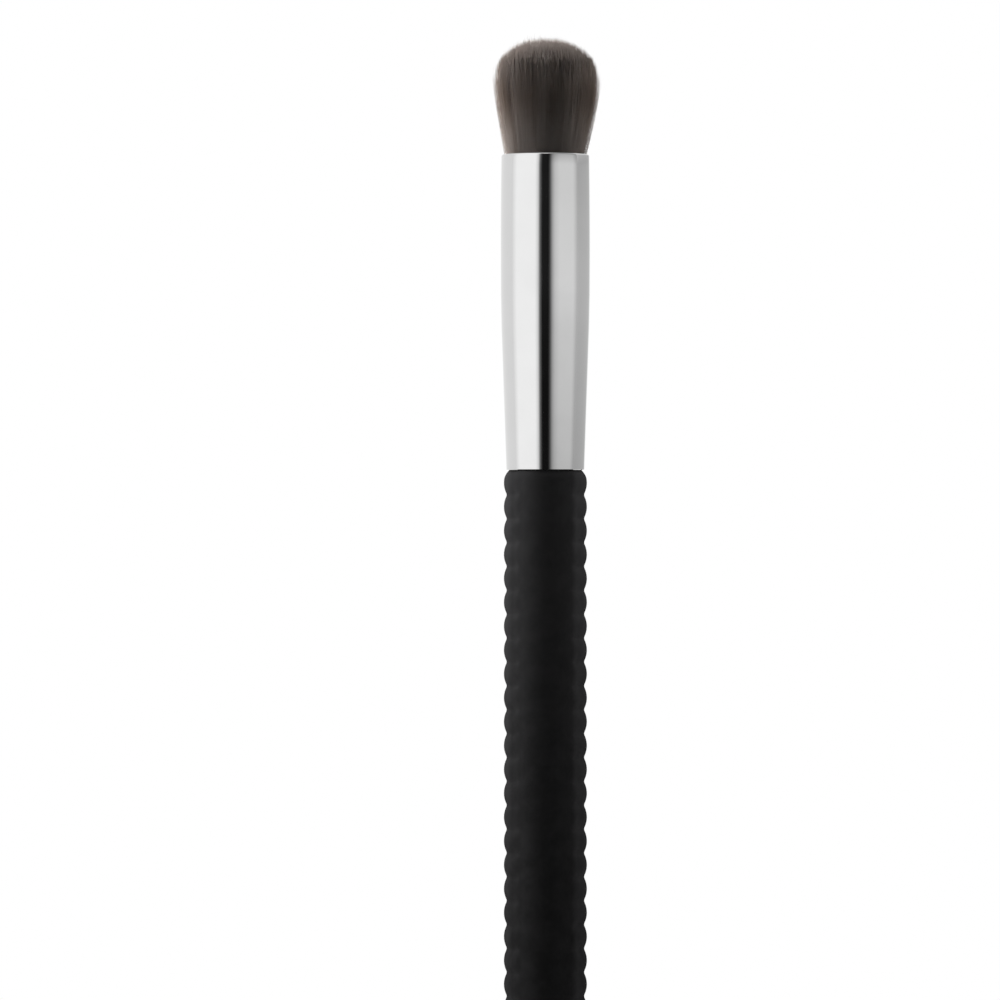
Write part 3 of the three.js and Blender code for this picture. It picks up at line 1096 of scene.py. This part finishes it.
@dataclass
class BindingThread:
    """The thread that ties the roots: a few turns wound round them."""

    diameter: float = 0.4 * MM
    gap: float = 0.5 * MM
    turns: int = 3
    sides: int = 12
    turn_steps: int = 72
    smooth_angle: float = 60.0

    def build(self) -> None:
        """Models the thread's section, winds it, closes its ends and puts it on the brush."""
        low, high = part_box("binding_thread")
        radius = self.diameter / 2
        add = bpy.ops.mesh.primitive_circle_add
        piece = new_object("root_binding", add, vertices=self.sides, radius=radius)
        open_edit()
        bpy.ops.transform.rotate(value=math.pi / 2, orient_axis="X", center_override=(0.0, 0.0, 0.0))
        bpy.ops.transform.translate(value=(high[0] - radius, 0.0, low[2] + radius))
        bpy.ops.object.mode_set(mode="OBJECT")
        steps = {"steps": self.turn_steps, "render_steps": self.turn_steps}
        rise = self.diameter + self.gap
        apply_modifier(piece, "SCREW", screw_offset=rise, iterations=self.turns, **steps)
        bpy.ops.mesh.fill_holes(sides=self.sides)
        close_edit(self.smooth_angle)
        seat(piece, CottonThread().material(), Slot.THREAD, "binding_thread")


class InnerPieces:
    """The pieces hidden in the ferrule and the sleeve, whose CAD shapes stay."""

    def build(self) -> None:
        """Gives each of them its finish."""
        finishes = {"potting_plug": AMBER_EPOXY, "tenon_glue": TAN_GLUE, "handle_core": PlainWood()}
        for node, finish in finishes.items():
            dress(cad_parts[node], finish.material())
            LOG.info("%s: keeps its shape", node)


@dataclass
class LightPanel:
    """A tall upright panel that fills a part of the circle round the brush and is mirrored in it.

    Azimuth 0 is towards the camera and 90 is to its right, in degrees. The spread gives azimuths from
    the panel's one edge to the other and the share of the glow that shows there. The glow gives heights
    and what shows there. The slant is how far the spread leans from the panel's foot to its top, as a
    share of its width.
    """

    name: str
    spread: tuple[Point, ...]
    glow: tuple[Point, ...]
    distance: float = 0.6
    foot: float = -0.6
    top: float = 0.9
    slant: float = 0.0
    cloth: Colour = grey(0.005)

    def __post_init__(self) -> None:
        """Works out the panel's middle and span."""
        first, last = math.radians(self.spread[0][0]), math.radians(self.spread[-1][0])
        self.middle = (first + last) / 2
        self.span = last - first

    def finish(self) -> Material:
        """A dark cloth that glows by height and azimuth.

        Returns:
            Its material.
        """
        nodes = FinishNodes(self.name)
        up = nodes.math("ADD", nodes.along("Y"), 0.5)
        rows = [((height - self.foot) / (self.top - self.foot), grey(value)) for height, value in self.glow]
        leaning = nodes.math("ADD", nodes.along("X"), nodes.math("MULTIPLY", nodes.along("Y"), self.slant))
        across = nodes.math("MULTIPLY_ADD", leaning, -1.0, 0.5)
        columns = []
        for azimuth, share in self.spread:
            aside = math.tan(math.radians(azimuth) - self.middle) / math.tan(self.span / 2)
            columns.append(((aside + 1) / 2, grey(share)))
        nodes.wire(
            Emission_Color=nodes.mix(1.0, nodes.ramp(up, rows), nodes.ramp(across, columns), "MULTIPLY"),
            Emission_Strength=1.0,
            Base_Color=self.cloth,
            Specular_IOR_Level=0.0,
        )
        return nodes.material

    def stand(self) -> None:
        """Stands the panel so that it faces the brush and the camera looks past it."""
        outward = Vector((math.sin(self.middle), -math.cos(self.middle), 0.0))
        place = outward * self.distance + Vector((0.0, 0.0, (self.foot + self.top) / 2))
        facing = (-outward).to_track_quat("Z", "Y").to_euler()
        add = bpy.ops.mesh.primitive_plane_add
        panel = new_object(self.name, add, size=1.0, location=place, rotation=facing)
        panel.scale = (2 * self.distance * math.tan(self.span / 2), self.top - self.foot, 1.0)
        panel.visible_camera = False
        panel.visible_diffuse = False
        panel.visible_shadow = False
        dress(panel, self.finish())


@dataclass(frozen=True)
class StripLamp:
    """A soft lamp beside the brush and above it, that lights its edges and isn't mirrored in it."""

    name: str
    azimuth: float
    level: float
    rise: float = 0.15
    distance: float = 0.7
    aim: float = 0.1
    width: float = 0.35
    height: float = 0.5

    def stand(self) -> None:
        """Stands the lamp above the brush. Its level is about what a white sheet facing it shows."""
        around = math.radians(self.azimuth)
        away = Vector((math.sin(around) * self.distance, -math.cos(around) * self.distance, self.rise))
        place = away + Vector((0.0, 0.0, self.aim))
        facing = (-away).to_track_quat("-Z", "Y").to_euler()
        lamp = new_object(self.name, bpy.ops.object.light_add, type="AREA", location=place, rotation=facing)
        lamp.data.shape = "RECTANGLE"
        lamp.data.size = self.width
        lamp.data.size_y = self.height
        lamp.data.energy = math.pi**2 * self.level * away.length_squared
        lamp.visible_camera = False
        lamp.visible_glossy = False


@dataclass
class Studio:
    """A plain white studio: a pale floor, soft lights on both sides, a dark gap in front, the camera.

    The floor fades to white between two shares of its radius, from the least that shows in its middle.
    """

    picture_width: float = 150.0 * MM
    camera_distance: float = 0.9
    camera_aside: float = -6.81 * MM
    camera_level: float = 102.9 * MM
    sensor: float = 36.0
    floor_radius: float = 0.25
    floor_steps: int = 128
    floor_dark: Colour = grey(0.5)
    floor_pale: Colour = grey(0.55)
    floor_patch: float = 20.0 * MM
    floor_roughness: float = 0.9
    fade_shares: Point = (0.3, 0.97)
    fade_least: float = 0.65
    ambient: float = 0.086

    def set_camera(self) -> None:
        """Sets a level camera that looks along +Y."""
        place = (self.camera_aside, -self.camera_distance, self.camera_level)
        bpy.ops.object.camera_add(location=place, rotation=(math.pi / 2, 0.0, 0.0))
        camera = bpy.context.object
        camera.data.sensor_width = self.sensor
        camera.data.lens = self.sensor * self.camera_distance / self.picture_width
        bpy.context.scene.camera = camera

    def set_world(self) -> None:
        """Makes a white surround that lights the brush only a little."""
        world = bpy.data.worlds.new("white_surround")
        bpy.context.scene.world = world
        world.use_nodes = True
        nodes = Nodes(world.node_tree)
        lit = nodes.tree.nodes["Background"]
        lit.inputs["Color"].default_value = grey(self.ambient)
        nodes.show_white("ShaderNodeBackground", lit.outputs[0], 1.0, "World Output")

    def floor_finish(self) -> Material:
        """A pale floor that fades to the white surround at its edge and keeps soft shadows near the brush.

        Returns:
            Its material.
        """
        nodes = FinishNodes("studio_floor")
        nodes.wire(
            Base_Color=nodes.mix(nodes.noise(self.floor_patch), self.floor_dark, self.floor_pale),
            Roughness=self.floor_roughness,
            Specular_IOR_Level=0.0,
        )
        first, last = self.fade_shares
        edge = (first * self.floor_radius, last * self.floor_radius)
        radius = nodes.add("ShaderNodeVectorMath", {0: nodes.place(0.0)}, operation="LENGTH").outputs["Value"]
        fade = nodes.levels(radius, edge, (self.fade_least, 1.0))
        nodes.show_white("ShaderNodeEmission", nodes.shader.outputs[0], fade, "Material Output")
        return nodes.material

    def set_floor(self) -> None:
        """Lays the floor."""
        shape = {"vertices": self.floor_steps, "radius": self.floor_radius, "fill_type": "NGON"}
        floor = new_object("studio_floor", bpy.ops.mesh.primitive_circle_add, **shape)
        dress(floor, self.floor_finish())

    def set_lights(self) -> None:
        """Stands the lights: bright ones on the left, weaker ones on the right, a dark panel in front."""
        bright = ((-0.4, 0.2), (-0.05, 0.6), (0.07, 1.3), (0.9, 1.3))
        weaker = ((-0.1, 0.05), (0.03, 0.3), (0.08, 0.76), (0.15, 0.97), (0.22, 0.88), (0.45, 0.15))
        weakest = (
            (-0.1, 0.05), (0.03, 0.25), (0.08, 0.52), (0.14, 0.64),
            (0.165, 0.64), (0.21, 0.53), (0.5, 1.0),
        )
        dark = ((0.07, 0.006), (0.15, 0.013))
        left = (
            (-96.0, 0.77), (-80.0, 1.0), (-27.6, 1.0), (-19.6, 0.72),
            (-17.1, 0.39), (-14.6, 0.13), (-10.0, 0.03), (-7.7, 0.0),
        )
        right = (
            (5.8, 0.0), (9.8, 0.05), (13.3, 0.2), (18.8, 0.6),
            (24.8, 0.85), (36.8, 1.0), (76.0, 1.0), (90.0, 0.69),
        )
        right_rear = ((90.0, 1.06), (98.0, 1.0), (150.0, 1.0), (160.0, 1.2))
        for light in (
            LightPanel("left_panel", left, bright, slant=0.15),
            LightPanel("right_panel", right, weaker),
            LightPanel("right_rear_panel", right_rear, weakest),
            LightPanel("front_panel", ((-20.0, 1.0), (20.0, 1.0)), dark, distance=1.1),
            StripLamp("left_rear_lamp", -140.0, 0.8),
            StripLamp("left_high_lamp", -95.0, 0.45, rise=0.35),
            StripLamp("left_front_lamp", -80.0, 0.34, rise=0.25),
            StripLamp("right_lamp", 105.0, 0.48, rise=0.3),
        ):
            light.stand()

    def build(self) -> None:
        """Sets up the whole studio."""
        bpy.context.scene.view_settings.view_transform = "Standard"
        self.set_camera()
        self.set_world()
        self.set_floor()
        self.set_lights()


def main() -> None:
    """Builds the studio and the brush, piece by piece."""
    logging.basicConfig(level=logging.INFO, format="%(name)s: %(message)s")
    for assembly in (Studio, GripSleeve, Ferrule, Tuft, BindingThread, InnerPieces):
        assembly().build()


if __name__ == "__main__":
    main()
